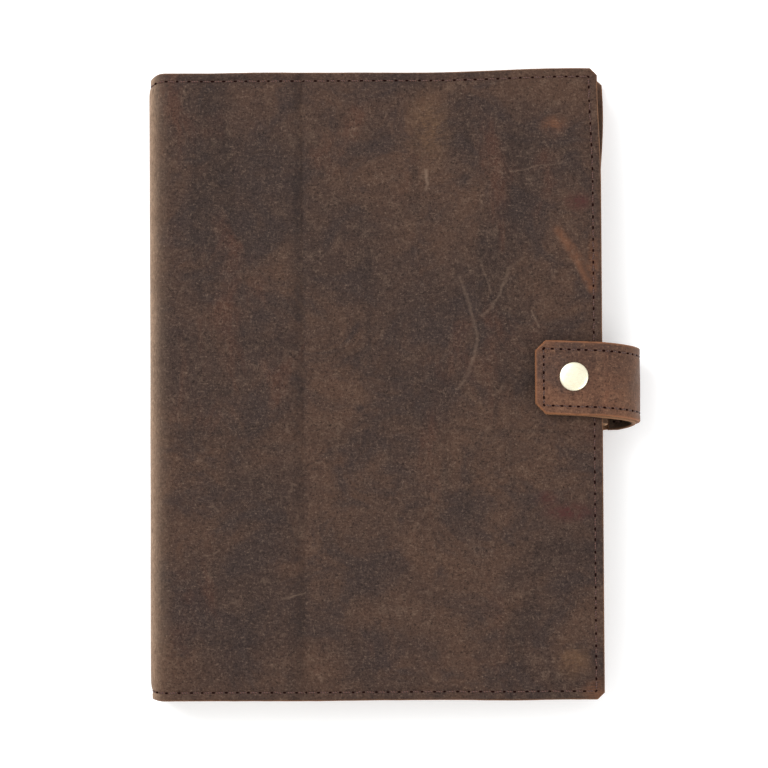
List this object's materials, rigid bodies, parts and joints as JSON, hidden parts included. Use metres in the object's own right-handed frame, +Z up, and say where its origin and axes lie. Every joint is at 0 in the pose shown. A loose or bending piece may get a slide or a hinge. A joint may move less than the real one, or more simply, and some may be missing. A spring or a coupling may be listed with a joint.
{
  "type": "leather notebook cover",
  "caption": "Leather notebook cover with stitched edges and inner pockets, a snap strap round the fore-edge, a pen loop and a refill notebook inside.",
  "frame": {"origin": "middle of the flat outer face of the back panel, the face the closed cover lies on", "axes": "+X from the spine to the fore-edge, +Y from the tail of the book to its head, +Z up through the closed cover"},
  "size_m": [0.1738, 0.222, 0.0303],
  "materials": {
    "cover_leather": "waxed, distressed",
    "pocket_leather": "matt",
    "strap_leather": "waxed",
    "lining_leather": "matt",
    "thread": "waxed thread",
    "board": "matt",
    "paper": "matt",
    "brass": "polished",
    "spring_steel": "satin"
  },
  "bodies": {
    "back_cover": {"back_leather": "cover_leather", "back_pocket": "pocket_leather", "back_board": "board", "page_block": "paper", "back_seam_thread": "thread", "strap_anchor_thread": "thread", "strap_root_outer": "strap_leather", "strap_root_lining": "lining_leather", "pen_loop": "lining_leather"},
    "spine": {"spine_leather": "cover_leather", "notebook_spine": "board", "spine_thread_head": "thread", "spine_thread_tail": "thread"},
    "front_cover": {"front_leather": "cover_leather", "front_pocket": "pocket_leather", "front_board": "board", "front_seam_thread": "thread", "snap_stud": "brass", "snap_post": "brass"},
    "strap": {"strap_tip_outer": "strap_leather", "strap_tip_lining": "lining_leather", "strap_thread": "thread", "snap_cap": "brass", "snap_socket": "brass", "snap_ring": "spring_steel"}
  },
  "joints": [
    {"name": "spine_fold", "type": "hinge", "parent": "back_cover", "child": "spine", "pos_m": [-0.08, 0, 0], "axis": [0, -1, 0], "range_deg": [0, 89]},
    {"name": "cover_fold", "type": "hinge", "parent": "spine", "child": "front_cover", "pos_m": [-0.08, 0, 0.024], "axis": [0, -1, 0], "range_deg": [0, 89]},
    {"name": "strap_open", "type": "hinge", "parent": "back_cover", "child": "strap", "pos_m": [0.0938, 0.0026, 0.0154], "axis": [0, 1, 0], "range_deg": [0, 120]}
  ],
  "couplings": [
    {"joint": "spine_fold", "follows": "cover_fold", "ratio": 1}
  ]
}
